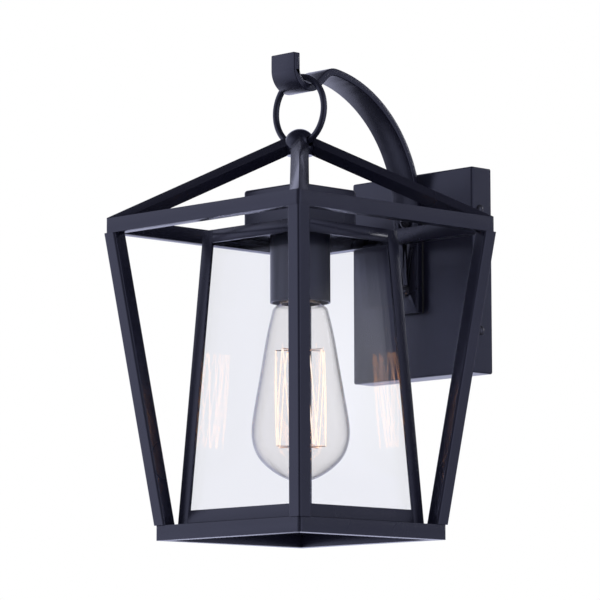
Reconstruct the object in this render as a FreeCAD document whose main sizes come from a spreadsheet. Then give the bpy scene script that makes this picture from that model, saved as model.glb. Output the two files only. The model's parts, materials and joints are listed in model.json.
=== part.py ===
"""Outdoor wall lantern that hangs by a wire ring from a strap hook on a box backplate.

Frame: millimetres, +Z up, X to the right of someone facing the wall, +Y into the wall.
The origin is the middle of the wall bolt pattern, on the wall plane (Y = 0).
Pieces of the hanging lantern are drawn about the lantern's own upright axis, with height
counted from its lowest face, and are then placed by LANTERN.
"""
import FreeCAD, Part
import math
import os
import Sketcher
from FreeCAD import Placement, Rotation, Vector

doc = FreeCAD.newDocument("wall_lantern")

# ---------------------------------------------------------------- driving dimensions
DIMS = {
    # wall unit
    "plate_width": 110.0, "plate_height": 136.0, "plate_depth": 18.0, "plate_sheet": 1.4,
    "plate_edge": 1.5,
    "bracket_width": 106.0, "bracket_height": 116.0, "bracket_depth": 14.0,
    "bracket_sheet": 1.6, "box_bolt_gap": 88.9, "slot_radius": 2.4, "slot_length": 12.0,
    "wire_hole_radius": 11.0,
    "side_screw_gap": 80.0, "side_screw_out": 10.6,
    # hook arm
    "arm_width": 22.0, "arm_thick": 5.0, "arm_low": 153.6, "arm_gasket_thick": 1.2,
    "arm_screw_low": 168.8, "arm_screw_high": 214.4,
    "arch_radius": 87.5, "arch_height": 217.8, "crest_radius": 12.0, "crest_out": 22.0,
    "cradle_radius": 11.7, "cradle_out": -1.2, "cradle_height": 303.6, "tip_height": 313.4,
    # where the lantern hangs
    "axis_out": 122.0, "pattern_height": 179.0,
    # wire ring and hub
    "loop_radius": 22.1, "loop_wire": 2.1, "loop_height": 277.85,
    "hub_radius": 10.0, "hub_height": 256.0, "hub_boss": 8.3, "hub_low": 248.4,
    "hub_flat": 2.8, "hub_hole_radius": 3.4, "hub_hole_height": 256.9,
    # outer cage
    "ring_half": 89.0, "ring_low": 198.2, "bar_tall": 9.6, "bar_thick": 8.0, "bar_corner": 2.6,
    "rail_half": 66.0,
    "post_width": 10.4, "post_round": 1.7, "post_proud": 0.8,
    "hip_size": 8.0, "hip_rise": 56.7,
    # glass housing
    "ledge_half": 49.0, "ledge_thick": 1.5,
    "wall_low_half": 55.7, "wall_top_half": 44.3, "wall_top": 199.5,
    "angle_leg": 9.3, "angle_sheet": 1.5, "lip_width": 6.0,
    "low_bar_tall": 9.2, "top_bar_tall": 8.5, "shadow_gap": 1.2,
    "glass_thick": 3.0, "glass_gap": 0.3,
    "top_plate_thick": 1.5, "housing_screw_out": 51.7,
    # wiring cap and socket
    "cap_width": 52.4, "cap_tall": 26.2, "cap_sheet": 1.2, "cap_corner": 3.0,
    "nipple_radius": 4.9, "nipple_bore": 3.2, "nut_flats": 14.0, "nut_thick": 3.4,
    "cup_radius": 19.4, "cup_sheet": 1.2, "cup_low": 152.6,
    "socket_radius": 17.6, "socket_low": 157.0, "socket_high": 190.0,
    "shell_radius": 14.5, "shell_bore": 13.6, "shell_high": 179.0,
    # bulb
    "bulb_radius": 31.5, "bulb_low": 37.6, "bulb_glass": 0.8, "bulb_neck": 12.6,
    "bulb_shoulder": 151.4, "bulb_neck_top": 162.0,
    "base_radius": 13.2, "base_low": 151.7, "base_high": 175.6, "base_skirt": 4.6,
    "thread_pitch": 3.63, "contact_top": 178.8, "contact_radius": 4.6,
    "cage_top": 122.0, "cage_low": 60.0, "cage_radius": 16.0,
}

dims = doc.addObject("Spreadsheet::Sheet", "Dims")
for row, (name, value) in enumerate(DIMS.items(), start=1):
    dims.set("A%d" % row, name)
    dims.set("B%d" % row, str(value))
    dims.setAlias("B%d" % row, name)
doc.recompute()


def val(name):
    """Value of a driving dimension."""
    return float(DIMS[name])


LANTERN = Vector(0, -val("axis_out"), -val("pattern_height"))
PARTS = []


# ---------------------------------------------------------------- helpers
def bind(obj, **formulas):
    """Bind properties to the sheet; a double underscore stands for a dot."""
    for prop, formula in formulas.items():
        obj.setExpression(prop.replace("__", "."), formula)


def hang(obj, turn=0.0):
    """Place a lantern piece, turned about the lantern's axis by the given degrees."""
    obj.Placement = Placement(LANTERN, Rotation(Vector(0, 0, 1), turn))
    bind(obj, Placement__Base__y="-Dims.axis_out", Placement__Base__z="-Dims.pattern_height")
    return obj


def finish(obj, label):
    """Give a finished sub-part its own label and list it for export."""
    obj.Label = label
    PARTS.append(obj)
    return obj


def new_body(name):
    return doc.addObject("PartDesign::Body", name)


def new_sketch(body, role, lift=0.0):
    """Sketch on one of the body's own origin planes, lifted along the plane's normal."""
    plane = [f for f in body.Origin.OriginFeatures if f.Role == role][0]
    sketch = body.newObject("Sketcher::SketchObject", "Sketch")
    sketch.AttachmentSupport = [(plane, "")]
    sketch.MapMode = "FlatFace"
    sketch.AttachmentOffset = Placement(Vector(0, 0, lift), Rotation())
    return sketch


def polygon(sketch, points):
    """Closed outline of straight edges."""
    corners = [Vector(x, y, 0) for x, y in points]
    first = sketch.GeometryCount
    for i, corner in enumerate(corners):
        sketch.addGeometry(Part.LineSegment(corner, corners[(i + 1) % len(corners)]))
    for i in range(len(corners)):
        after = first + (i + 1) % len(corners)
        sketch.addConstraint(Sketcher.Constraint("Coincident", first + i, 2, after, 1))


def rectangle(sketch, width, height):
    """Rectangle centred on the sketch origin; width and height are formulas."""
    polygon(sketch, [(-1, -1), (1, -1), (1, 1), (-1, 1)])
    for edge in (0, 2):
        sketch.addConstraint(Sketcher.Constraint("Horizontal", edge))
    for edge in (1, 3):
        sketch.addConstraint(Sketcher.Constraint("Vertical", edge))
    sketch.addConstraint(Sketcher.Constraint("Symmetric", 0, 1, 1, 2, -1, 1))
    wide = sketch.addConstraint(Sketcher.Constraint("DistanceX", 0, 1, 0, 2, 2.0))
    tall = sketch.addConstraint(Sketcher.Constraint("DistanceY", 1, 1, 1, 2, 2.0))
    sketch.setExpression("Constraints[%d]" % wide, width)
    sketch.setExpression("Constraints[%d]" % tall, height)


def circle(sketch, x, y, radius):
    """Circle at (x, y); its radius is a formula."""
    edge = sketch.addGeometry(Part.Circle(Vector(x, y, 0), Vector(0, 0, 1), 1.0))
    if x or y:
        sketch.addConstraint(Sketcher.Constraint("DistanceX", -1, 1, edge, 3, x))
        sketch.addConstraint(Sketcher.Constraint("DistanceY", -1, 1, edge, 3, y))
    else:
        sketch.addConstraint(Sketcher.Constraint("Coincident", edge, 3, -1, 1))
    size = sketch.addConstraint(Sketcher.Constraint("Radius", edge, 1.0))
    sketch.setExpression("Constraints[%d]" % size, radius)


def pad(body, sketch, length, reverse=False, middle=False):
    """Pad by a length formula."""
    feature = body.newObject("PartDesign::Pad", "Pad")
    feature.Profile = sketch
    feature.Reversed = reverse
    feature.SideType = "Symmetric" if middle else "One side"
    bind(feature, Length=length)
    doc.recompute()
    return feature


def pocket(body, sketch, length, reverse=False, middle=False):
    """Pocket by a length formula; it must take material away."""
    before = body.Shape.Volume
    feature = body.newObject("PartDesign::Pocket", "Pocket")
    feature.Profile = sketch
    feature.Reversed = reverse
    feature.SideType = "Symmetric" if middle else "One side"
    bind(feature, Length=length)
    doc.recompute()
    if body.Shape.Volume > before - 0.1:
        raise RuntimeError("a pocket cut nothing in " + body.Name)
    return feature


def revolve(body, sketch):
    """Full turn about the sketch's upright axis."""
    feature = body.newObject("PartDesign::Revolution", "Revolution")
    feature.Profile = sketch
    feature.ReferenceAxis = (sketch, ["V_Axis"])
    feature.Angle = 360.0
    doc.recompute()
    return feature


def turned(name, points):
    """Body of revolution about Z from (radius, height) corners."""
    body = new_body(name)
    sketch = new_sketch(body, "XZ_Plane")
    polygon(sketch, points)
    revolve(body, sketch)
    return body


def fillet(body, feature, radius, chosen):
    """Fillet the feature's edges for which chosen(edge) is true."""
    names = ["Edge%d" % (i + 1) for i, edge in enumerate(feature.Shape.Edges) if chosen(edge)]
    rounding = body.newObject("PartDesign::Fillet", "Fillet")
    rounding.Base = (feature, names)
    bind(rounding, Radius=radius)
    doc.recompute()
    return rounding


def box(name, size, corner):
    """Part box from size and corner formulas."""
    block = doc.addObject("Part::Box", name)
    bind(block, Length=size[0], Width=size[1], Height=size[2])
    bind(block, Placement__Base__x=corner[0], Placement__Base__y=corner[1],
         Placement__Base__z=corner[2])
    return block


def cylinder(name, radius, height, base, axis=Vector(0, 0, 1)):
    """Part cylinder of formula radius and height from a base point along an axis."""
    rod = doc.addObject("Part::Cylinder", name)
    rod.Placement = Placement(base, Rotation(Vector(0, 0, 1), axis))
    bind(rod, Radius=radius, Height=height)
    return rod


def boolean(kind, name, base, tool):
    result = doc.addObject("Part::" + kind, name)
    result.Base = base
    result.Tool = tool
    return result


def group(name, pieces):
    """Separate identical solids that share one node."""
    result = doc.addObject("Part::Compound", name)
    result.Links = pieces
    return result


def hexagon(sketch, across_flats):
    corner = across_flats / math.sqrt(3)
    turns = [math.radians(60 * i) for i in range(6)]
    polygon(sketch, [(corner * math.cos(t), corner * math.sin(t)) for t in turns])


def screw(name, head_radius, head_tall, shank_radius, shank_long, crossed=True):
    """Domed screw along +Z: the shank runs up from the head's seat at the origin."""
    body = new_body(name)
    sketch = new_sketch(body, "XZ_Plane")
    crown = 0.7 * head_tall
    ball = (head_radius ** 2 + crown ** 2) / (2 * crown)
    half_turn = math.asin(head_radius / ball) / 2
    seat = Vector(head_radius, 0, 0)
    rim = Vector(head_radius, crown - head_tall, 0)
    top = Vector(0, -head_tall, 0)
    shoulder = Vector(ball * math.sin(half_turn), ball * (1 - math.cos(half_turn)) - head_tall, 0)
    arc = Part.Arc(rim, shoulder, top)
    ends = [top, Vector(0, shank_long, 0), Vector(shank_radius, shank_long, 0),
            Vector(shank_radius, 0, 0), seat, rim]
    for start, end in zip(ends, ends[1:]):
        sketch.addGeometry(Part.LineSegment(start, end))
    sketch.addGeometry(arc)
    revolve(body, sketch)
    if not crossed:
        return body
    for wide, tall in ((0.26, 1.1), (1.1, 0.26)):
        cross = new_sketch(body, "XY_Plane", -head_tall)
        rectangle(cross, "%f" % (wide * head_radius), "%f" % (tall * head_radius))
        pocket(body, cross, "%f" % (0.55 * head_tall), reverse=True)
    return body


def hex_nut(name, across_flats, thick, bore):
    """Hexagon nut standing on Z = 0."""
    body = new_body(name)
    sketch = new_sketch(body, "XY_Plane")
    hexagon(sketch, across_flats)
    circle(sketch, 0, 0, "%f" % bore)
    pad(body, sketch, "%f" % thick)
    return body


TOWARD_ROOM = Rotation(Vector(1, 0, 0), 90)     # turns +Z to -Y
TOWARD_WALL = Rotation(Vector(1, 0, 0), -90)    # turns +Z to +Y


# ---------------------------------------------------------------- wall unit
def backplate():
    body = new_body("Backplate")
    outline = new_sketch(body, "XZ_Plane")
    rectangle(outline, "Dims.plate_width", "Dims.plate_height")
    block = pad(body, outline, "Dims.plate_depth")
    front = -val("plate_depth")

    def rounded(edge):
        return edge.BoundBox.YMin < front + 0.01

    fillet(body, block, "Dims.plate_edge", rounded)
    hollow = new_sketch(body, "XZ_Plane")
    rectangle(hollow, "Dims.plate_width - 2*Dims.plate_sheet",
              "Dims.plate_height - 2*Dims.plate_sheet")
    pocket(body, hollow, "Dims.plate_depth - Dims.plate_sheet", reverse=True)
    holes = new_sketch(body, "XZ_Plane")
    for height in ("arm_screw_low", "arm_screw_high"):
        circle(holes, 0, val(height) - val("pattern_height"), "2.3")
    pocket(body, holes, "Dims.plate_depth + 1", reverse=True)
    sides = new_sketch(body, "YZ_Plane")
    for sign in (-1, 1):
        circle(sides, -val("side_screw_out"), sign * val("side_screw_gap") / 2, "2.2")
    pocket(body, sides, "Dims.plate_width + 2", middle=True)
    return finish(body, "backplate")


def mounting_bracket():
    """Channel against the wall: web with box slots, side flanges for the side screws."""
    body = new_body("Bracket")
    web = new_sketch(body, "XZ_Plane")
    rectangle(web, "Dims.bracket_width", "Dims.bracket_height")
    pad(body, web, "Dims.bracket_depth")
    channel = new_sketch(body, "YZ_Plane")
    front = -val("bracket_depth") - 1
    half = val("bracket_height") / 2 + 1
    back = -val("bracket_sheet")
    polygon(channel, [(front, -half), (back, -half), (back, half), (front, half)])
    pocket(body, channel, "Dims.bracket_width - 2*Dims.bracket_sheet", middle=True)
    slots = new_sketch(body, "XZ_Plane")
    run = val("slot_length") / 2 - val("slot_radius")
    wide = val("slot_radius")
    for sign in (-1, 1):
        middle = sign * val("box_bolt_gap") / 2
        low, high = middle - run, middle + run
        slots.addGeometry(Part.LineSegment(Vector(wide, low, 0), Vector(wide, high, 0)))
        slots.addGeometry(Part.Arc(Vector(wide, high, 0), Vector(0, high + wide, 0),
                                   Vector(-wide, high, 0)))
        slots.addGeometry(Part.LineSegment(Vector(-wide, high, 0), Vector(-wide, low, 0)))
        slots.addGeometry(Part.Arc(Vector(-wide, low, 0), Vector(0, low - wide, 0),
                                   Vector(wide, low, 0)))
    pocket(body, slots, "Dims.bracket_sheet + 1", reverse=True)
    openings = new_sketch(body, "XZ_Plane")
    circle(openings, 0, 0, "Dims.wire_hole_radius")
    circle(openings, 30, -20, "2.0")
    pocket(body, openings, "Dims.bracket_sheet + 1", reverse=True)
    threads = new_sketch(body, "YZ_Plane")
    for sign in (-1, 1):
        circle(threads, -val("side_screw_out"), sign * val("side_screw_gap") / 2, "2.0")
    pocket(body, threads, "Dims.bracket_width + 2", middle=True)
    return finish(body, "mounting_bracket")


def side_screws():
    """Four pan-head screws through the plate's sides into the bracket's flanges."""
    pieces = []
    for side in (-1, 1):
        for up in (-1, 1):
            piece = screw("SideScrew", 3.0, 2.1, 1.95, 6.0, crossed=False)
            seat = Vector(side * val("plate_width") / 2, -val("side_screw_out"),
                          up * val("side_screw_gap") / 2)
            piece.Placement = Placement(seat, Rotation(Vector(0, 1, 0), -90 * side))
            pieces.append(piece)
    return finish(group("SideScrews", pieces), "side_screws")


def ground_screw():
    """Green bonding screw in the bracket's web, its head towards the room."""
    body = new_body("GroundScrew")
    head = new_sketch(body, "XY_Plane")
    hexagon(head, 7.0)
    pad(body, head, "2.4")
    shank = new_sketch(body, "XY_Plane")
    circle(shank, 0, 0, "1.95")
    pad(body, shank, "Dims.bracket_sheet", reverse=True)
    body.Placement = Placement(Vector(30, -val("bracket_sheet"), -20), TOWARD_ROOM)
    return finish(body, "ground_screw")


def arm_back():
    """Distance from the wall to the strap's back face."""
    return val("plate_depth") + val("arm_gasket_thick")


def hook_arm():
    """Flat strap: foot on the plate, arch, short dip that cradles the ring, upright tip."""
    half = val("arm_thick") / 2
    axis_out = val("axis_out")
    body = new_body("HookArm")
    sketch = new_sketch(body, "YZ_Plane")

    def place(out, height):
        return Vector(out - axis_out, height - val("pattern_height"), 0)

    foot = axis_out - arm_back() - half
    arch = (foot - val("arch_radius"), val("arch_height"))
    reach = val("arch_radius") - val("crest_radius")
    lean = math.asin((val("crest_out") - arch[0]) / reach)
    crest = (val("crest_out"), arch[1] + reach * math.cos(lean))
    cradle = (val("cradle_out"), val("cradle_height"))
    gap = math.hypot(crest[0] - cradle[0], crest[1] - cradle[1])
    climb = math.asin((val("cradle_radius") + val("crest_radius")) / gap)
    climb += math.atan2(crest[1] - cradle[1], crest[0] - cradle[0])

    def side(offset):
        """Edges of one face of the strap, offset to the left of the path from the tip."""
        def round_cradle(turn):
            r = val("cradle_radius") - offset
            return place(cradle[0] + r * math.sin(turn), cradle[1] - r * math.cos(turn))

        def round_crest(turn):
            r = val("crest_radius") + offset
            return place(crest[0] - r * math.sin(turn), crest[1] + r * math.cos(turn))

        def round_arch(turn):
            r = val("arch_radius") + offset
            return place(arch[0] + r * math.sin(turn), arch[1] + r * math.cos(turn))

        tip = place(cradle[0] - val("cradle_radius") + offset, val("tip_height"))
        down = round_cradle(-math.pi / 2)
        up = round_cradle(climb)
        over = round_crest(climb)
        past = round_crest(-lean)
        end = round_arch(math.pi / 2)
        low = place(foot + offset, val("arm_low"))
        return [Part.LineSegment(tip, down),
                Part.Arc(down, round_cradle((climb - math.pi / 2) / 2), up),
                Part.LineSegment(up, over),
                Part.Arc(over, round_crest((climb - lean) / 2), past),
                Part.Arc(past, round_arch((lean + math.pi / 2) / 2), end),
                Part.LineSegment(end, low)], tip, low

    inner, tip_in, low_in = side(half)
    outer, tip_out, low_out = side(-half)
    for edge in inner + outer:
        sketch.addGeometry(edge)
    sketch.addGeometry(Part.LineSegment(tip_in, tip_out))
    sketch.addGeometry(Part.LineSegment(low_in, low_out))
    pad(body, sketch, "Dims.arm_width", middle=True)
    holes = new_sketch(body, "XZ_Plane")
    for height in ("arm_screw_low", "arm_screw_high"):
        circle(holes, 0, val(height) - val("pattern_height"), "2.3")
    pocket(body, holes, "Dims.plate_depth + 12", reverse=True)
    return finish(body, "hook_arm")


def arm_gasket():
    """Thin pad between the strap's foot and the plate."""
    block = box("GasketBlock",
                ("Dims.arm_width", "Dims.arm_gasket_thick", "Dims.arch_height - Dims.arm_low"),
                ("-Dims.arm_width/2", "-Dims.plate_depth - Dims.arm_gasket_thick",
                 "Dims.arm_low - Dims.pattern_height"))
    for height in ("arm_screw_low", "arm_screw_high"):
        base = Vector(0, -arm_back() - 1, val(height) - val("pattern_height"))
        hole = cylinder("GasketHole", "2.3", "Dims.arm_gasket_thick + 2", base, Vector(0, 1, 0))
        block = boolean("Cut", "Gasket", block, hole)
    return finish(block, "arm_gasket")


def arm_fasteners():
    """Two dome-head screws through strap, pad and plate, and their nuts inside."""
    screws, nuts = [], []
    seat_out = -arm_back() - val("arm_thick")
    inside = -val("plate_depth") + val("plate_sheet")
    for height in ("arm_screw_low", "arm_screw_high"):
        level = val(height) - val("pattern_height")
        piece = screw("ArmScrew", 3.9, 2.6, 2.0, 12.6)
        piece.Placement = Placement(Vector(0, seat_out, level), TOWARD_WALL)
        screws.append(piece)
        nut = hex_nut("ArmNut", 7.0, 3.2, 2.05)
        nut.Placement = Placement(Vector(0, inside, level), TOWARD_WALL)
        nuts.append(nut)
    finish(group("ArmScrews", screws), "arm_screws")
    finish(group("ArmNuts", nuts), "arm_nuts")


# ---------------------------------------------------------------- ring and roof
def hang_ring():
    """Closed wire ring that stands across the strap."""
    torus = doc.addObject("Part::Torus", "HangRing")
    torus.Placement = Placement(LANTERN, Rotation(Vector(1, 0, 0), 90))
    bind(torus, Radius1="Dims.loop_radius", Radius2="Dims.loop_wire",
         Placement__Base__y="-Dims.axis_out",
         Placement__Base__z="Dims.loop_height - Dims.pattern_height")
    return finish(torus, "hang_ring")


def hub():
    """Ball with a flat crown, a short boss below and a cross hole for the ring."""
    body = new_body("Hub")
    sketch = new_sketch(body, "XZ_Plane")
    radius, middle = val("hub_radius"), val("hub_height")
    boss, low, flat = val("hub_boss"), val("hub_low"), val("hub_flat")
    neck = middle - math.sqrt(radius ** 2 - boss ** 2)
    crown = middle + math.sqrt(radius ** 2 - flat ** 2)
    outline = [Vector(flat, crown, 0), Vector(0, crown, 0), Vector(0, low, 0),
               Vector(boss, low, 0), Vector(boss, neck, 0)]
    for start, end in zip(outline, outline[1:]):
        sketch.addGeometry(Part.LineSegment(start, end))
    sketch.addGeometry(Part.Arc(outline[-1], Vector(radius, middle, 0), outline[0]))
    revolve(body, sketch)
    hole = new_sketch(body, "YZ_Plane")
    circle(hole, 0, val("hub_hole_height"), "Dims.hub_hole_radius")
    pocket(body, hole, "3*Dims.hub_radius", middle=True)
    return finish(hang(body), "hub")


def frame_bar(name, half, low, turn):
    """One mitred side of a square frame with rounded corners; unturned, the front side."""
    body = new_body(name)
    sketch = new_sketch(body, "XY_Plane", low)
    inner = half - val("bar_thick")
    radius = val("bar_corner")

    def rounded(side, degrees):
        """Point on the corner's arc, so many degrees past the bar's face."""
        angle = math.radians(degrees)
        return Vector(side * (half - radius + radius * math.sin(angle)),
                      radius - half - radius * math.cos(angle), 0)

    corners = [rounded(-1, 0), rounded(1, 0), rounded(1, 45), Vector(inner, -inner, 0),
               Vector(-inner, -inner, 0), rounded(-1, 45)]
    for index in (0, 2, 3, 4):
        sketch.addGeometry(Part.LineSegment(corners[index], corners[index + 1]))
    sketch.addGeometry(Part.Arc(corners[1], rounded(1, 22.5), corners[2]))
    sketch.addGeometry(Part.Arc(corners[5], rounded(-1, 22.5), corners[0]))
    pad(body, sketch, "Dims.bar_tall")
    return hang(body, turn)


def hip_bar(name, turn, envelope, hollow):
    """Square bar set on edge from a ring corner up to the hub."""
    length = math.hypot(val("ring_half") * math.sqrt(2), val("hip_rise"))
    climb = math.degrees(math.atan2(val("hip_rise"), val("ring_half") * math.sqrt(2)))
    half_diagonal = val("hip_size") / math.sqrt(2)
    drop = half_diagonal / math.cos(math.radians(climb))
    corner = Vector(val("ring_half"), -val("ring_half"),
                    val("ring_low") + val("bar_tall") - drop)
    body = new_body(name)
    sketch = new_sketch(body, "XY_Plane", -15)
    polygon(sketch, [(-half_diagonal, 0), (0, -half_diagonal),
                     (half_diagonal, 0), (0, half_diagonal)])
    pad(body, sketch, "%f" % (length + 15))
    along = Rotation(Vector(0, 0, 1), 135) * Rotation(Vector(0, 1, 0), 90 - climb)
    body.Placement = Placement(corner, along)
    trimmed = boolean("Common", name + "Trim", body, envelope)
    result = boolean("Cut", name + "Cut", trimmed, hollow)
    return hang(result, turn)


# ---------------------------------------------------------------- leaning pieces
def wall_half(height):
    """Half width of the glass housing's outer face at a height."""
    foot = val("bar_tall")
    share = (height - foot) / (val("wall_top") - foot)
    return val("wall_low_half") + share * (val("wall_top_half") - val("wall_low_half"))


def wall_piece(name, low, high, inset, thick, reach, centre=0.0):
    """Slab in a leaning housing wall, between two heights.

    inset is how far it lies inside the wall's outer face, and reach gives its half
    width at a height.
    """
    body = new_body(name)
    sections = []
    for height in (low, high):
        sketch = new_sketch(body, "XY_Plane", height)
        out = -(wall_half(height) - inset)
        wide = reach(height)
        polygon(sketch, [(centre - wide, out), (centre + wide, out),
                         (centre + wide, out + thick), (centre - wide, out + thick)])
        sections.append(sketch)
    loft = body.newObject("PartDesign::AdditiveLoft", "Loft")
    loft.Profile = sections[0]
    loft.Sections = sections[1:]
    loft.Ruled = True
    doc.recompute()
    return body


def leaning_pad(body, sketch, low, high, start, end):
    """Pad whose outline is carried from one corner point to another."""
    feature = body.newObject("PartDesign::Pad", "Pad")
    feature.Profile = sketch
    feature.UseCustomVector = True
    feature.Direction = Vector(end - start, start - end, high - low)
    feature.AlongSketchNormal = True
    feature.Length = high - low
    doc.recompute()


def cage_post(name, turn):
    """Square tube section with rounded edges, leaning out along the corner's diagonal."""
    wide, round_ = val("post_width"), val("post_round")
    proud = val("post_proud")
    start, end = val("rail_half") + proud, val("ring_half") + proud
    body = new_body(name)
    sketch = new_sketch(body, "XY_Plane", val("bar_tall"))
    middle = Vector(start - wide / 2, wide / 2 - start, 0)
    reach = wide / 2 - round_
    for quarter in range(4):
        spin = Rotation(Vector(0, 0, 1), 90 * quarter)
        side_start = middle + spin.multVec(Vector(wide / 2, -reach, 0))
        side_end = middle + spin.multVec(Vector(wide / 2, reach, 0))
        centre = middle + spin.multVec(Vector(reach, reach, 0))
        bend = centre + spin.multVec(Vector(1, 1, 0).normalize() * round_)
        after = middle + spin.multVec(Vector(reach, wide / 2, 0))
        sketch.addGeometry(Part.LineSegment(side_start, side_end))
        sketch.addGeometry(Part.Arc(side_end, bend, after))
    leaning_pad(body, sketch, val("bar_tall"), val("ring_low"), start, end)
    return hang(body, turn)


def angle_post(name, turn):
    """Folded corner angle of the glass housing."""
    leg, sheet = val("angle_leg"), val("angle_sheet")
    low, high = val("bar_tall"), val("wall_top")
    start, end = val("wall_low_half"), val("wall_top_half")
    section = [(0, 0), (0, leg), (-sheet, leg), (-sheet, sheet), (-leg, sheet), (-leg, 0)]
    body = new_body(name)
    sketch = new_sketch(body, "XY_Plane", low)
    polygon(sketch, [(start + x, y - start) for x, y in section])
    leaning_pad(body, sketch, low, high, start, end)
    return hang(body, turn)


SIDES = {"front": 0, "right": 90, "back": 180, "left": 270}
CORNERS = {"front_right": 0, "back_right": 90, "back_left": 180, "front_left": 270}


def outer_cage():
    envelope = new_body("RoofEnvelope")
    square = new_sketch(envelope, "XY_Plane", val("ring_low"))
    rectangle(square, "2*Dims.ring_half", "2*Dims.ring_half")
    block = pad(envelope, square, "90")
    fillet(envelope, block, "Dims.bar_corner", lambda edge: edge.BoundBox.ZLength > 1)
    outside = box("RingOutside", ("2*Dims.ring_half", "2*Dims.ring_half", "Dims.bar_tall"),
                  ("-Dims.ring_half", "-Dims.ring_half", "Dims.ring_low"))
    inside = box("RingInside", ("2*Dims.ring_half - 2*Dims.bar_thick",
                                "2*Dims.ring_half - 2*Dims.bar_thick", "Dims.bar_tall"),
                 ("-Dims.ring_half + Dims.bar_thick", "-Dims.ring_half + Dims.bar_thick",
                  "Dims.ring_low"))
    frame = boolean("Cut", "RingFrame", outside, inside)
    ball = doc.addObject("Part::Sphere", "HubBall")
    bind(ball, Radius="Dims.hub_radius", Placement__Base__z="Dims.hub_height")
    boss = cylinder("HubBoss", "Dims.hub_boss", "Dims.hub_height - Dims.hub_low",
                    Vector(0, 0, val("hub_low")))
    hollow = doc.addObject("Part::MultiFuse", "RoofHollow")
    hollow.Shapes = [frame, ball, boss]
    for side, turn in SIDES.items():
        finish(frame_bar("RingBar", val("ring_half"), val("ring_low"), turn), "top_ring_" + side)
        finish(frame_bar("RailBar", val("rail_half"), 0.0, turn), "bottom_rail_" + side)
    for corner, turn in CORNERS.items():
        finish(cage_post("CagePost", turn), "cage_post_" + corner)
        finish(hip_bar("HipBar", turn, envelope, hollow), "hip_bar_" + corner)


# ---------------------------------------------------------------- glass housing
def housing_ledge():
    """Square flange inside the bottom rails that carries the glass housing."""
    body = new_body("Ledge")
    low = val("bar_tall") - val("ledge_thick")
    sketch = new_sketch(body, "XY_Plane", low)
    rectangle(sketch, "2*(Dims.rail_half - Dims.bar_thick)",
              "2*(Dims.rail_half - Dims.bar_thick)")
    pad(body, sketch, "Dims.ledge_thick")
    inner = new_sketch(body, "XY_Plane", low)
    rectangle(inner, "2*Dims.ledge_half", "2*Dims.ledge_half")
    pocket(body, inner, "Dims.ledge_thick", reverse=True)
    holes = new_sketch(body, "XY_Plane", low)
    for turn in range(4):
        angle = math.radians(90 * turn)
        circle(holes, val("housing_screw_out") * math.sin(angle),
               -val("housing_screw_out") * math.cos(angle), "1.55")
    pocket(body, holes, "Dims.ledge_thick", reverse=True)
    return finish(hang(body), "housing_ledge")



def low_bar(turn):
    """Lower bar of a housing wall: a leaning face and a level lip that carries the pane."""
    low = val("bar_tall")
    high = low + val("low_bar_tall")
    sheet = val("angle_sheet")
    gap = val("shadow_gap")

    def reach(height):
        return wall_half(height) - val("angle_leg")

    body = wall_piece("LowBar", low + gap, high, 0.0, sheet, reach)
    lip = new_sketch(body, "XY_Plane", low)
    out = -(wall_half(low) - sheet)
    wide = reach(low + sheet)
    polygon(lip, [(-wide, out - 0.3), (wide, out - 0.3),
                  (wide, out + val("lip_width")), (-wide, out + val("lip_width"))])
    pad(body, lip, "Dims.angle_sheet")
    hole = new_sketch(body, "XY_Plane", low)
    circle(hole, 0, -val("housing_screw_out"), "1.55")
    pocket(body, hole, "Dims.angle_sheet", reverse=True)
    return hang(body, turn)


def glass_housing():
    sheet, leg = val("angle_sheet"), val("angle_leg")
    top = val("wall_top")
    seat = val("bar_tall") + sheet
    plate_low = top - val("top_plate_thick")
    pane_back = sheet + val("glass_thick")

    def between_posts(height):
        return wall_half(height) - leg

    def pane_reach(height):
        return wall_half(height) - pane_back - val("glass_gap")

    for side, turn in SIDES.items():
        finish(low_bar(turn), "housing_low_bar_" + side)
        top_bar = wall_piece("TopBar", top - val("top_bar_tall"), top, 0.0, sheet,
                             between_posts)
        finish(hang(top_bar, turn), "housing_top_bar_" + side)
        pane = wall_piece("Pane", seat, plate_low - 0.1, sheet, val("glass_thick"), pane_reach)
        finish(hang(pane, turn), "glass_pane_" + side)
    for corner, turn in CORNERS.items():
        finish(angle_post("AnglePost", turn), "housing_post_" + corner)
    clips = []
    for turn in SIDES.values():
        for across in (-26, 26):
            clip = wall_piece("Clip", seat, seat + 6.0, pane_back + 0.02, 1.2,
                              lambda height: 4.0, across)
            clips.append(hang(clip, turn))
    finish(group("Clips", clips), "pane_clips")
    screws = []
    for turn in SIDES.values():
        piece = screw("HousingScrew", 2.4, 1.7, 1.5, 2.9)
        seat_point = Rotation(Vector(0, 0, 1), turn).multVec(
            Vector(0, -val("housing_screw_out"), val("bar_tall") - val("ledge_thick")))
        piece.Placement = Placement(LANTERN + seat_point, Rotation())
        screws.append(piece)
    finish(group("HousingScrews", screws), "housing_screws")


def top_plate():
    """Square plate that closes the housing and carries cap and socket."""
    body = new_body("TopPlate")
    sketch = new_sketch(body, "XY_Plane", val("wall_top") - val("top_plate_thick"))
    rectangle(sketch, "2*(Dims.wall_top_half - Dims.angle_sheet)",
              "2*(Dims.wall_top_half - Dims.angle_sheet)")
    circle(sketch, 0, 0, "Dims.nipple_radius + 0.1")
    pad(body, sketch, "Dims.top_plate_thick")
    return finish(hang(body), "top_plate")


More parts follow.
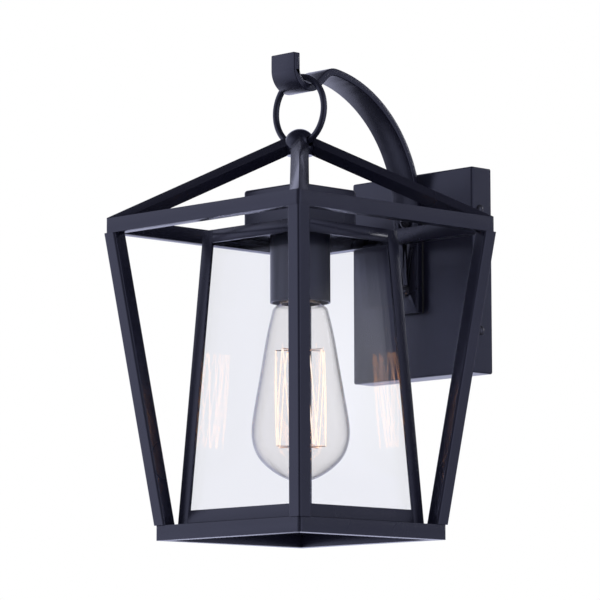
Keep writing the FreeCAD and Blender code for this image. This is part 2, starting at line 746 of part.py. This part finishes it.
# ---------------------------------------------------------------- cap, nipple, socket
def cap_box():
    """Square wiring cap with rounded corners, open below."""
    low = val("wall_top")
    high = low + val("cap_tall")
    body = new_body("CapBox")
    sketch = new_sketch(body, "XY_Plane", low)
    rectangle(sketch, "Dims.cap_width", "Dims.cap_width")
    block = pad(body, sketch, "Dims.cap_tall")

    def upright(edge):
        return edge.BoundBox.ZLength > 1

    def crown(edge):
        return edge.BoundBox.ZMin > high - 0.01

    corners = fillet(body, block, "Dims.cap_corner", upright)
    fillet(body, corners, "Dims.cap_corner - 1", crown)
    hollow = new_sketch(body, "XY_Plane", low)
    rectangle(hollow, "Dims.cap_width - 2*Dims.cap_sheet", "Dims.cap_width - 2*Dims.cap_sheet")
    pocket(body, hollow, "Dims.cap_tall - Dims.cap_sheet", reverse=True)
    hole = new_sketch(body, "XY_Plane", low)
    circle(hole, 0, 0, "Dims.nipple_radius + 0.1")
    pocket(body, hole, "Dims.cap_tall + 1", reverse=True)
    return finish(hang(body), "cap_box")


def nipple():
    """Threaded tube through socket, cup, plate and cap, with a nut at each end."""
    bottom = val("socket_high") - 5.0
    cap_top = val("wall_top") + val("cap_tall")
    top = cap_top + val("nut_thick") + 1.0
    radius, bore = val("nipple_radius"), val("nipple_bore")
    tube = turned("Nipple", [(bore, bottom), (radius, bottom), (radius, top), (bore, top)])
    finish(hang(tube), "nipple")
    nuts = []
    under = val("wall_top") - val("top_plate_thick") - val("cup_sheet") - val("nut_thick")
    for level in (under, cap_top):
        nut = hex_nut("NippleNut", val("nut_flats"), val("nut_thick"), radius + 0.05)
        nut.Placement = Placement(LANTERN + Vector(0, 0, level), Rotation())
        nuts.append(nut)
    finish(group("NippleNuts", nuts), "nipple_nuts")


def socket():
    """Painted cup, moulded body, brass screw shell and centre contact."""
    roof = val("wall_top") - val("top_plate_thick")
    sheet, hole = val("cup_sheet"), val("nipple_radius") + 0.1
    low, outer = val("cup_low"), val("cup_radius")
    cup = turned("Cup", [(hole, roof), (hole, roof - sheet), (outer - sheet, roof - sheet),
                         (outer - sheet, low), (outer, low), (outer, roof)])
    finish(hang(cup), "socket_cup")
    body_low, body_high = val("socket_low"), val("socket_high")
    floor = val("shell_high") + 1.6
    bore = val("shell_radius") + 0.1
    wide = val("socket_radius")
    seat = body_high - 5.0
    moulding = turned("SocketBody", [(bore, body_low), (wide, body_low), (wide, body_high),
                                     (hole, body_high), (hole, seat), (2.1, seat),
                                     (2.1, floor), (bore, floor)])
    finish(hang(moulding), "socket_body")
    shell, inside, top = val("shell_radius"), val("shell_bore"), val("shell_high")
    lip = shell + 2.2
    sleeve = turned("ScrewShell", [(inside, body_low - 1.2), (lip, body_low - 1.2),
                                   (lip, body_low - 0.2), (shell, body_low - 0.2),
                                   (shell, top), (inside, top)])
    finish(hang(sleeve), "screw_shell")
    base = val("contact_top") + 0.05
    tab = turned("Tab", [(0, base), (4.0, base), (4.0, base + 0.6), (2.0, base + 0.6),
                         (2.0, floor + 1.5), (0, floor + 1.5)])
    finish(hang(tab), "socket_contact")


# ---------------------------------------------------------------- bulb
def envelope_outline(inset):
    """(radius, height) points from the bulb's blunt tip to its neck, inset by a thickness."""
    neck, shoulder = val("bulb_neck"), val("bulb_shoulder")
    outer = [(0, val("bulb_low")), (10.9, 40.0), (20.2, 45.9), (27.0, 53.0), (30.4, 60.8),
             (val("bulb_radius"), 69.8), (30.5, 79.5), (28.4, 92), (26.1, 105), (23.4, 121),
             (20.6, 136), (18.7, 144), (17.9, 147.3), (16.9, 149.3), (15.3, 150.6)]
    points = [Vector(0, outer[0][1] + inset, 0)]
    for before, here, after in zip(outer, outer[1:], outer[2:] + [(neck, shoulder)]):
        along = Vector(after[0] - before[0], after[1] - before[1], 0).normalize()
        points.append(Vector(*here, 0) + inset * Vector(-along.y, along.x, 0))
    points.append(Vector(neck - inset, shoulder - inset, 0))
    return points


def bulb_envelope():
    """Thin glass pear: blunt tip, round belly, long taper, narrow neck inside the base."""
    body = new_body("Envelope")
    sketch = new_sketch(body, "XZ_Plane")
    top = val("bulb_neck_top")
    ends = []
    for inset in (0.0, val("bulb_glass")):
        side = envelope_outline(inset)
        curve = Part.BSplineCurve()
        curve.interpolate(Points=side, InitialTangent=Vector(1, 0, 0),
                          FinalTangent=Vector(-1, 0.2, 0))
        sketch.addGeometry(curve)
        rim = Vector(side[-1].x, top, 0)
        sketch.addGeometry(Part.LineSegment(side[-1], rim))
        ends.append((side[0], rim))
    sketch.addGeometry(Part.LineSegment(ends[0][1], ends[1][1]))
    sketch.addGeometry(Part.LineSegment(ends[0][0], ends[1][0]))
    revolve(body, sketch)
    return finish(hang(body), "bulb_envelope")


def bulb_base():
    """Rolled screw base: rounded thread ridges on a thin sleeve."""
    outer, low, high = val("base_radius"), val("base_low"), val("base_high")
    inside = val("bulb_neck") + 0.05
    pitch = val("thread_pitch")
    root = outer - 0.35
    skirt = val("base_skirt")
    profile = [(inside, low), (outer, low), (outer, low + skirt - 0.6)]
    turns = int((high - low - skirt - 1.4) / pitch)
    for turn in range(turns):
        start = low + skirt + turn * pitch
        profile += [(root, start), (root, start + 0.3 * pitch),
                    (outer, start + 0.5 * pitch), (outer, start + 0.7 * pitch)]
    profile += [(root, high - 1.2), (11.2, high), (10.4, high), (inside, high - 2.0)]
    return finish(hang(turned("BulbBase", profile)), "bulb_base")


def bulb_contact():
    """Dark glass insulator and the solder button at the base's end."""
    high, top = val("base_high"), val("contact_top")
    radius = val("contact_radius")
    finish(hang(turned("Insulator", [(0, high), (10.3, high), (radius + 0.4, high + 1.9),
                                     (0, high + 1.9)])), "bulb_insulator")
    finish(hang(turned("Button", [(0, high + 1.9), (radius, high + 1.9),
                                  (radius - 0.9, top), (0, top)])), "bulb_button")


def bulb_stem():
    """Pressed glass stem and the long rod that carries the support wires."""
    top = val("bulb_neck_top") - 0.5
    rod_low = val("cage_low") - 4.0
    profile = [(0, rod_low), (1.6, rod_low), (1.6, 128.0), (3.2, 131.0), (4.0, 146.0),
               (11.2, top), (9.8, top), (2.6, 148.0), (0, 148.0)]
    return finish(hang(turned("Stem", profile)), "bulb_stem")


def bulb_filament():
    """Cage filament: upright strands between two rings of support hooks."""
    strands, hooks = [], []
    count = 14
    hook_radius = 0.3
    top, low, radius = val("cage_top"), val("cage_low"), val("cage_radius")
    for index in range(count):
        turn = 2 * math.pi * (index + 0.5) / count
        spot = Vector(radius * math.cos(turn), radius * math.sin(turn), low + 0.4)
        strand = cylinder("Strand", "0.45", "%f" % (top - low - 0.8), LANTERN + spot)
        strands.append(strand)
    for index in range(count // 2):
        for level, shift in ((top, 0.0), (low, 1.0)):
            turn = 2 * math.pi * (2 * index + shift + 0.5) / count
            out = Vector(math.cos(turn), math.sin(turn), 0)
            base = LANTERN + out * 1.7 + Vector(0, 0, level)
            hooks.append(cylinder("Hook", "%f" % hook_radius, "%f" % (radius - 1.2), base, out))
    finish(group("Filament", strands), "bulb_filament")
    finish(group("Hooks", hooks), "filament_hooks")


# ---------------------------------------------------------------- build
backplate()
mounting_bracket()
side_screws()
ground_screw()
hook_arm()
arm_gasket()
arm_fasteners()
hang_ring()
hub()
outer_cage()
housing_ledge()
glass_housing()
top_plate()
cap_box()
nipple()
socket()
bulb_envelope()
bulb_base()
bulb_contact()
bulb_stem()
bulb_filament()
doc.recompute()

problems = [o.Name for o in doc.Objects if {"Invalid", "Error"} & set(o.State)]
problems += [p.Label for p in PARTS if p.Shape.isNull() or not p.Shape.isValid()]
if problems:
    raise RuntimeError("failed objects: " + ", ".join(problems))
os.makedirs("parts", exist_ok=True)
for part in PARTS:
    part.Shape.exportStep("parts/%s.step" % part.Label)
    print("%-32s solids %2d  volume %10.1f" % (part.Label, len(part.Shape.Solids),
                                               part.Shape.Volume))
print(len(PARTS), "nodes")
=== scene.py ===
import json
import math

import bpy
from mathutils import Matrix, Vector


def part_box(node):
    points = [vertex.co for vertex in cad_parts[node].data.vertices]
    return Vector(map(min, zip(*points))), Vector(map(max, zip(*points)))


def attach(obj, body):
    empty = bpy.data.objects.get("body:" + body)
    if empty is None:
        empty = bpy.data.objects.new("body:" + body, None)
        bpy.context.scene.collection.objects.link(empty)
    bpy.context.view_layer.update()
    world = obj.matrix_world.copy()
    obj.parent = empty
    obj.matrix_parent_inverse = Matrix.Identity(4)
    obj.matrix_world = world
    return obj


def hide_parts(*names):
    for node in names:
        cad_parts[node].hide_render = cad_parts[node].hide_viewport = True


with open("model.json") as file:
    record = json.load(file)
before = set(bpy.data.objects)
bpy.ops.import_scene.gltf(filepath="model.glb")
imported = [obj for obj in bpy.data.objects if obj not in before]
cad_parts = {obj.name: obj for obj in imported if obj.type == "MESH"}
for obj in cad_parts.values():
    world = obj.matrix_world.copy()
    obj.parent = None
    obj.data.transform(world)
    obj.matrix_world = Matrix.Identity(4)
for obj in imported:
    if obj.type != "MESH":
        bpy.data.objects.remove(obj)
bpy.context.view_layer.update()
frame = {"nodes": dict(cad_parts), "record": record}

NODES = frame["nodes"]
MM = 0.001


# ------------------------------------------------------------------ node helpers
def new_material(name):
    """Material with an empty node tree and an output node."""
    mat = bpy.data.materials.new(name)
    mat.use_nodes = True
    tree = mat.node_tree
    tree.nodes.clear()
    out = tree.nodes.new("ShaderNodeOutputMaterial")
    return mat, tree, out


def principled(tree, **sockets):
    """Principled node; underscores in a keyword stand for spaces in the socket's name."""
    node = tree.nodes.new("ShaderNodeBsdfPrincipled")
    for key, value in sockets.items():
        node.inputs[key.replace("_", " ")].default_value = value
    return node


def noise(tree, scale, detail=3.0, rough=0.5):
    """Noise in the object's own metres."""
    coords = tree.nodes.new("ShaderNodeTexCoord")
    tex = tree.nodes.new("ShaderNodeTexNoise")
    tex.inputs["Scale"].default_value = scale
    tex.inputs["Detail"].default_value = detail
    tex.inputs["Roughness"].default_value = rough
    tree.links.new(coords.outputs["Object"], tex.inputs["Vector"])
    return tex.outputs["Fac"]


def ramp(tree, source, stops):
    """Colour ramp from (position, colour) stops."""
    node = tree.nodes.new("ShaderNodeValToRGB")
    band = node.color_ramp
    while len(band.elements) < len(stops):
        band.elements.new(0.5)
    for element, (place, colour) in zip(band.elements, stops):
        element.position = place
        element.color = (*colour, 1)
    tree.links.new(source, node.inputs["Fac"])
    return node.outputs["Color"]


def span(tree, source, low, high, new_low, new_high):
    """Maps a value from one range to another, clamped."""
    node = tree.nodes.new("ShaderNodeMapRange")
    for key, value in (("From Min", low), ("From Max", high), ("To Min", new_low),
                       ("To Max", new_high)):
        node.inputs[key].default_value = value
    tree.links.new(source, node.inputs["Value"])
    return node.outputs["Result"]


def bump(tree, height, distance, strength, below=None):
    """Bump from a height, over another bump's normal if one is given."""
    node = tree.nodes.new("ShaderNodeBump")
    node.inputs["Strength"].default_value = strength
    node.inputs["Distance"].default_value = distance
    tree.links.new(height, node.inputs["Height"])
    if below:
        tree.links.new(below, node.inputs["Normal"])
    return node.outputs["Normal"]


# ------------------------------------------------------------------ materials
SHEEN_DRIFT = 0.006                      # how far a paint's roughness wanders
PEEL_HEIGHT, FINE_HEIGHT = 0.000004, 0.0000012
PEEL_STRENGTH = 0.25
MIRROR_ROUGH = 0.004
HEAD_ON_GLOSS = 0.022                    # share of light a pane reflects when seen head on
GLANCE_POWER = 5.0


def paint(name, dark, light, rough, grain=1.0, shine=0.55):
    """Satin powder coat: slight colour drift, fine orange peel and uneven sheen."""
    mat, tree, out = new_material(name)
    shader = principled(tree, Specular_IOR_Level=shine, Specular_Tint=(0.86, 0.88, 1.0, 1))
    drift = noise(tree, 38.0, 4.0, 0.6)
    tree.links.new(ramp(tree, drift, [(0.3, dark), (0.7, light)]),
                   shader.inputs["Base Color"])
    sheen = noise(tree, 22.0, 1.0, 0.4)
    uneven = span(tree, sheen, 0.3, 0.7, rough - SHEEN_DRIFT, rough + SHEEN_DRIFT)
    tree.links.new(uneven, shader.inputs["Roughness"])
    peel = bump(tree, noise(tree, 420.0, 1.0, 0.4), PEEL_HEIGHT * grain, PEEL_STRENGTH)
    fine = bump(tree, noise(tree, 2200.0, 1.0, 0.4), FINE_HEIGHT * grain, PEEL_STRENGTH,
                below=peel)
    tree.links.new(fine, shader.inputs["Normal"])
    tree.links.new(shader.outputs["BSDF"], out.inputs["Surface"])
    return mat


def metal(name, colour, rough, spots=0.15):
    """Bare metal with tarnish spots and a fine grain."""
    mat, tree, out = new_material(name)
    shader = principled(tree, Metallic=1.0)
    stain = noise(tree, 260.0, 5.0, 0.6)
    worn = tuple(c * (1 - spots * 2) for c in colour)
    tree.links.new(ramp(tree, stain, [(0.35, worn), (0.62, colour)]),
                   shader.inputs["Base Color"])
    tree.links.new(span(tree, stain, 0.3, 0.7, rough + 0.1, rough - 0.04),
                   shader.inputs["Roughness"])
    grain = noise(tree, 1500.0, 2.0, 0.5)
    tree.links.new(bump(tree, grain, 0.00003, 0.5), shader.inputs["Normal"])
    tree.links.new(shader.outputs["BSDF"], out.inputs["Surface"])
    return mat


def thin_glass(name, face, edge, gloss, ripple, ripple_scale):
    """Thin clear glass: what is behind shows through, tinted more at a glancing angle, under
    a gloss that grows as (1 - cos)^5."""
    mat, tree, out = new_material(name)
    layer = tree.nodes.new("ShaderNodeLayerWeight")
    layer.inputs["Blend"].default_value = 0.5
    glance = layer.outputs["Facing"]
    through = tree.nodes.new("ShaderNodeBsdfTransparent")
    tree.links.new(ramp(tree, glance, [(0.0, face), (0.72, face), (0.97, edge)]),
                   through.inputs["Color"])
    mirror = tree.nodes.new("ShaderNodeBsdfGlossy")
    mirror.inputs["Roughness"].default_value = MIRROR_ROUGH
    mirror.inputs["Color"].default_value = (gloss, gloss, gloss, 1)
    wave = noise(tree, ripple_scale, 1.0, 0.4)
    tree.links.new(bump(tree, wave, ripple, 0.5), mirror.inputs["Normal"])
    power = tree.nodes.new("ShaderNodeMath")
    power.operation = "POWER"
    power.inputs[1].default_value = GLANCE_POWER
    tree.links.new(glance, power.inputs[0])
    mix = tree.nodes.new("ShaderNodeMixShader")
    tree.links.new(span(tree, power.outputs["Value"], 0.0, 1.0, HEAD_ON_GLOSS, 1.0),
                   mix.inputs["Fac"])
    tree.links.new(through.outputs["BSDF"], mix.inputs[1])
    tree.links.new(mirror.outputs["BSDF"], mix.inputs[2])
    tree.links.new(mix.outputs["Shader"], out.inputs["Surface"])
    return mat


def moulded(name, dark, light, rough):
    """Moulded plastic or ceramic with a soft pebble."""
    mat, tree, out = new_material(name)
    shader = principled(tree, Specular_IOR_Level=0.45)
    tree.links.new(ramp(tree, noise(tree, 120.0, 3.0), [(0.3, dark), (0.7, light)]),
                   shader.inputs["Base Color"])
    cloud = noise(tree, 500.0, 3.0)
    tree.links.new(span(tree, cloud, 0.3, 0.7, rough, rough + 0.12), shader.inputs["Roughness"])
    tree.links.new(bump(tree, cloud, 0.00005, 0.6), shader.inputs["Normal"])
    tree.links.new(shader.outputs["BSDF"], out.inputs["Surface"])
    return mat


def glowing(name, core, rim, strength, mirrored, mirrored_strength):
    """Lit filament: pale core, warmer towards its edges, uneven along the coil. Glass shows
    it at its full orange strength, which is too bright to see directly."""
    mat, tree, out = new_material(name)
    shader = principled(tree, Roughness=0.5, Emission_Strength=strength,
                        Base_Color=(0.30, 0.22, 0.16, 1))
    layer = tree.nodes.new("ShaderNodeLayerWeight")
    layer.inputs["Blend"].default_value = 0.5
    glow = ramp(tree, layer.outputs["Facing"], [(0.25, core), (0.85, rim)])
    heat = ramp(tree, noise(tree, 900.0, 2.0), [(0.3, (0.88, 0.86, 0.82)), (0.7, (1, 1, 1))])
    uneven = tree.nodes.new("ShaderNodeMix")
    uneven.data_type = "RGBA"
    uneven.blend_type = "MULTIPLY"
    uneven.inputs["Factor"].default_value = 1.0
    tree.links.new(glow, uneven.inputs["A"])
    tree.links.new(heat, uneven.inputs["B"])
    path = tree.nodes.new("ShaderNodeLightPath")
    full = tree.nodes.new("ShaderNodeMix")
    full.data_type = "RGBA"
    full.inputs["B"].default_value = (*mirrored, 1)
    tree.links.new(path.outputs["Is Glossy Ray"], full.inputs["Factor"])
    tree.links.new(uneven.outputs["Result"], full.inputs["A"])
    tree.links.new(full.outputs["Result"], shader.inputs["Emission Color"])
    tree.links.new(span(tree, path.outputs["Is Glossy Ray"], 0.0, 1.0, strength,
                        mirrored_strength), shader.inputs["Emission Strength"])
    tree.links.new(shader.outputs["BSDF"], out.inputs["Surface"])
    return mat


FRAME_PAINT = paint("satin_black", (0.0065, 0.0068, 0.016), (0.0090, 0.0092, 0.020), 0.27)
PLATE_PAINT = paint("satin_black_plate", (0.0075, 0.0078, 0.018), (0.010, 0.0105, 0.023), 0.30)
HUB_PAINT = paint("gloss_black_hub", (0.0060, 0.0063, 0.014), (0.0085, 0.0088, 0.018), 0.13)
CUP_PAINT = paint("satin_black_cup", (0.0060, 0.0063, 0.014), (0.0085, 0.0088, 0.018), 0.34,
                  shine=0.40)
SCREW_PAINT = paint("screw_black", (0.012, 0.012, 0.018), (0.020, 0.020, 0.026), 0.10, 0.3)
PANE_GLASS = thin_glass("pane_glass", (0.966, 0.968, 0.980), (0.88, 0.89, 0.92), 0.9,
                        0.00002, 14.0)
BULB_GLASS = thin_glass("bulb_glass", (0.990, 0.984, 0.978), (0.90, 0.885, 0.88), 0.5,
                        0.00001, 30.0)
BRASS = metal("bulb_brass", (0.80, 0.56, 0.30), 0.26)
COPPER = metal("shell_copper", (0.78, 0.44, 0.26), 0.24, 0.2)
ZINC = metal("zinc_plate", (0.30, 0.305, 0.31), 0.42, 0.06)
GREEN = metal("green_plate", (0.06, 0.36, 0.14), 0.34, 0.1)
SOLDER = metal("solder", (0.62, 0.61, 0.58), 0.42, 0.1)
WIRE = metal("support_wire", (0.60, 0.55, 0.48), 0.30, 0.1)
RUBBER = moulded("gasket_rubber", (0.014, 0.014, 0.016), (0.024, 0.024, 0.027), 0.72)
BAKELITE = moulded("socket_moulding", (0.018, 0.016, 0.015), (0.030, 0.027, 0.025), 0.38)
BLACK_GLASS = moulded("insulator_glass", (0.010, 0.010, 0.014), (0.018, 0.018, 0.022), 0.12)
FILAMENT = glowing("filament", (1.0, 0.93, 0.84), (1.0, 0.62, 0.38), 1.15,
                   (1.0, 0.45, 0.16), 8.0)

SLOT_MATERIALS = {
    "frame_paint": FRAME_PAINT, "plate_paint": PLATE_PAINT, "screw_paint": SCREW_PAINT,
    "zinc_steel": ZINC, "green_steel": GREEN, "gasket_rubber": RUBBER,
    "pane_glass": PANE_GLASS, "socket_moulding": BAKELITE, "shell_brass": COPPER,
    "bulb_brass": BRASS, "insulator_glass": BLACK_GLASS, "solder": SOLDER,
    "bulb_glass": BULB_GLASS, "filament": FILAMENT, "support_wire": WIRE,
}
for entry in frame["record"]["subparts"]:
    node = NODES[entry["node"]]
    node.data.materials.clear()
    node.data.materials.append(SLOT_MATERIALS[entry["material_slot"]])
NODES["hub"].data.materials[0] = HUB_PAINT
NODES["socket_cup"].data.materials[0] = CUP_PAINT


# ------------------------------------------------------------------ edges
BEVEL_STEPS = 3
SHARP_ANGLE = math.radians(28)
WELD_GAP = 0.01 * MM


def soften(node, width):
    """Welds the node's faces and rounds its sharp edges."""
    weld = node.modifiers.new("weld", "WELD")
    weld.merge_threshold = WELD_GAP
    bevel = node.modifiers.new("bevel", "BEVEL")
    bevel.width = width
    bevel.segments = BEVEL_STEPS
    bevel.limit_method = "ANGLE"
    bevel.angle_limit = SHARP_ANGLE
    bevel.use_clamp_overlap = True
    bevel.harden_normals = True
    node.data.polygons.foreach_set("use_smooth", [True] * len(node.data.polygons))


EDGE_WIDTHS = {"top_ring": 0.7, "bottom_rail": 0.7, "hip_bar": 0.7, "hook_arm": 0.9,
               "housing_post": 0.35, "housing_top": 0.35, "housing_low": 0.35,
               "top_plate": 0.3, "arm_gasket": 0.3, "glass_pane": 0.3}
for name, node in NODES.items():
    for start, width in EDGE_WIDTHS.items():
        if name.startswith(start):
            soften(node, width * MM)


# ------------------------------------------------------------------ filament
WIRE_RUNS = 14
WIRE_RADIUS = 0.42 * MM
WIRE_SAG = 0.5 * MM                      # how far a run bows out at its middle
HOOK_INSET = 0.5 * MM
HOOK_DROP, HOOK_HALF, HOOK_OUT = 1.6 * MM, 0.7 * MM, 0.2 * MM


def filament_winding():
    """One long wire laced up and down between the upper and lower support hooks."""
    low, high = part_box("filament_hooks")
    centre = Vector(((low[0] + high[0]) / 2, (low[1] + high[1]) / 2, 0))
    radius = (high[1] - low[1]) / 2 - HOOK_INSET
    bottom, top = low[2], high[2]
    points = []
    for index in range(WIRE_RUNS + 1):
        turn = 2 * math.pi * (index + 0.5) / WIRE_RUNS
        out = Vector((math.cos(turn), math.sin(turn), 0))
        side = Vector((-out.y, out.x, 0))
        level, away = (top, 1) if index % 2 == 0 else (bottom, -1)
        hook = centre + out * radius + Vector((0, 0, level))
        near = hook - Vector((0, 0, HOOK_DROP * away))
        points += [near - side * HOOK_HALF, hook + out * HOOK_OUT, near + side * HOOK_HALF]
        if index < WIRE_RUNS:
            after = 2 * math.pi * (index + 1.0) / WIRE_RUNS
            middle = Vector((math.cos(after), math.sin(after), 0))
            points.append(centre + middle * (radius + WIRE_SAG)
                          + Vector((0, 0, (top + bottom) / 2)))
    curve = bpy.data.curves.new("filament_winding", "CURVE")
    curve.dimensions = "3D"
    curve.bevel_depth = WIRE_RADIUS
    curve.bevel_resolution = 4
    curve.resolution_u = 6
    spline = curve.splines.new("NURBS")
    spline.points.add(len(points) - 1)
    for place, point in zip(spline.points, points):
        place.co = (*point, 1)
    spline.order_u = 3
    spline.use_endpoint_u = True
    curve.use_fill_caps = True
    raw = bpy.data.objects.new("filament_winding_path", curve)
    bpy.context.scene.collection.objects.link(raw)
    bpy.context.view_layer.update()
    mesh = bpy.data.meshes.new_from_object(
        raw.evaluated_get(bpy.context.evaluated_depsgraph_get()))
    bpy.data.objects.remove(raw)
    wire = bpy.data.objects.new("filament_winding", mesh)
    bpy.context.scene.collection.objects.link(wire)
    mesh.materials.clear()
    mesh.materials.append(FILAMENT)
    mesh.polygons.foreach_set("use_smooth", [True] * len(mesh.polygons))
    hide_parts("bulb_filament")
    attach(wire, "bulb")


filament_winding()


# ------------------------------------------------------------------ stage, light, camera
# Brightness of the surroundings in reflections, by degrees round from the camera's side
# towards the wall, seen from above anticlockwise, and by height of direction.
PANELS_AROUND = [(-180, 1.0), (-158, 1.0), (-122, 0.62), (-97, 0.98), (-85, 1.0),
                 (-55, 0.55), (-30, 0.12), (18, 0.12), (34, 0.9), (58, 1.0), (72, 0.46),
                 (110, 0.44), (130, 0.24), (160, 0.27), (172, 1.0), (180, 1.0)]
PANELS_UP = [(-1.0, 0.07), (-0.82, 0.09), (-0.7, 0.75), (-0.5, 0.8), (-0.3, 1.0),
             (-0.05, 1.2), (0.05, 1.0), (0.45, 1.0), (0.62, 0.45), (0.8, 0.06), (1.0, 0.05)]
PANEL_TINT = (0.90, 0.93, 1.25)
# Small lamps seen in reflections only: direction, degrees from the middle to the edge of the
# bright core and of its glow, brightness. The first lies along the right-hand pane, the
# second is aimed at the domed screws.
LAMPS = [((0.676, 0.712, 0.184), 0.5, 1.7, 1.2), ((0.35, 0.88, 0.32), 3.0, 5.0, 9.0)]
CAMERA_TURN = math.radians(44.6)
FLOOR_HALF, FLOOR_LEVEL = 4.0, -0.55
CAMERA_PLACE = (1.6707, -1.7696, -0.3148)
CAMERA_RIGHT = (0.70187, 0.71230, -0.00269)
CAMERA_UP = (0.08934, -0.08428, 0.99243)
CAMERA_LENS, SENSOR_WIDTH = 220.55, 36.0


def stage():
    """Pale floor under the lantern."""
    mesh = bpy.data.meshes.new("floor")
    half, level = FLOOR_HALF, FLOOR_LEVEL
    mesh.from_pydata([(-half, -half, level), (half, -half, level), (half, half, level),
                      (-half, half, level)], [], [(0, 1, 2, 3)])
    floor = bpy.data.objects.new("floor", mesh)
    bpy.context.scene.collection.objects.link(floor)
    mat, tree, out = new_material("pale_floor")
    pale = principled(tree, Roughness=0.8, Base_Color=(0.86, 0.86, 0.87, 1))
    tree.links.new(pale.outputs["BSDF"], out.inputs["Surface"])
    mesh.materials.append(mat)
    floor.visible_glossy = False


def studio():
    """White surroundings; glossy reflections see dark and bright panels, as in a studio."""
    world = bpy.data.worlds.new("studio")
    bpy.context.scene.world = world
    world.use_nodes = True
    tree = world.node_tree
    tree.nodes.clear()
    out = tree.nodes.new("ShaderNodeOutputWorld")
    white = tree.nodes.new("ShaderNodeBackground")
    white.inputs["Color"].default_value = (1, 1, 1, 1)
    panels = tree.nodes.new("ShaderNodeBackground")
    coords = tree.nodes.new("ShaderNodeTexCoord")
    spin = tree.nodes.new("ShaderNodeVectorRotate")
    spin.rotation_type = "Z_AXIS"
    spin.inputs["Angle"].default_value = CAMERA_TURN
    tree.links.new(coords.outputs["Generated"], spin.inputs["Vector"])
    around = tree.nodes.new("ShaderNodeTexGradient")
    around.gradient_type = "RADIAL"
    tree.links.new(spin.outputs["Vector"], around.inputs["Vector"])
    band = ramp(tree, around.outputs["Fac"],
                [(0.5 + turn / 360, tuple(level * c for c in PANEL_TINT))
                 for turn, level in PANELS_AROUND])
    height = tree.nodes.new("ShaderNodeSeparateXYZ")
    tree.links.new(coords.outputs["Generated"], height.inputs["Vector"])
    rise = ramp(tree, span(tree, height.outputs["Z"], -1.0, 1.0, 0.0, 1.0),
                [(0.5 + 0.5 * z, (level,) * 3) for z, level in PANELS_UP])
    both = tree.nodes.new("ShaderNodeMix")
    both.data_type = "RGBA"
    both.blend_type = "MULTIPLY"
    both.inputs["Factor"].default_value = 1.0
    tree.links.new(band, both.inputs["A"])
    tree.links.new(rise, both.inputs["B"])
    light = both.outputs["Result"]
    for aim, core, glow, level in LAMPS:
        toward = tree.nodes.new("ShaderNodeVectorMath")
        toward.operation = "DOT_PRODUCT"
        toward.inputs[1].default_value = Vector(aim).normalized()
        tree.links.new(coords.outputs["Generated"], toward.inputs[0])
        spot = span(tree, toward.outputs["Value"], math.cos(math.radians(glow)),
                    math.cos(math.radians(core)), 0.0, level)
        added = tree.nodes.new("ShaderNodeMix")
        added.data_type = "RGBA"
        added.blend_type = "ADD"
        added.inputs["Factor"].default_value = 1.0
        tree.links.new(light, added.inputs["A"])
        tree.links.new(spot, added.inputs["B"])
        light = added.outputs["Result"]
    tree.links.new(light, panels.inputs["Color"])
    path = tree.nodes.new("ShaderNodeLightPath")
    mix = tree.nodes.new("ShaderNodeMixShader")
    tree.links.new(path.outputs["Is Glossy Ray"], mix.inputs["Fac"])
    tree.links.new(white.outputs["Background"], mix.inputs[1])
    tree.links.new(panels.outputs["Background"], mix.inputs[2])
    tree.links.new(mix.outputs["Shader"], out.inputs["Surface"])


def camera():
    """Camera before the lantern's near corner, looking slightly up."""
    data = bpy.data.cameras.new("camera")
    data.sensor_width = SENSOR_WIDTH
    data.lens = CAMERA_LENS
    data.clip_end = 50.0
    cam = bpy.data.objects.new("camera", data)
    right = Vector(CAMERA_RIGHT)
    up = Vector(CAMERA_UP)
    back = right.cross(up)
    turn = Matrix((right, up, back)).transposed()
    cam.matrix_world = Matrix.Translation(CAMERA_PLACE) @ turn.to_4x4()
    bpy.context.scene.collection.objects.link(cam)
    bpy.context.scene.camera = cam


stage()
studio()
camera()
bpy.context.scene.view_settings.view_transform = "Standard"
bpy.context.scene.view_settings.look = "None"
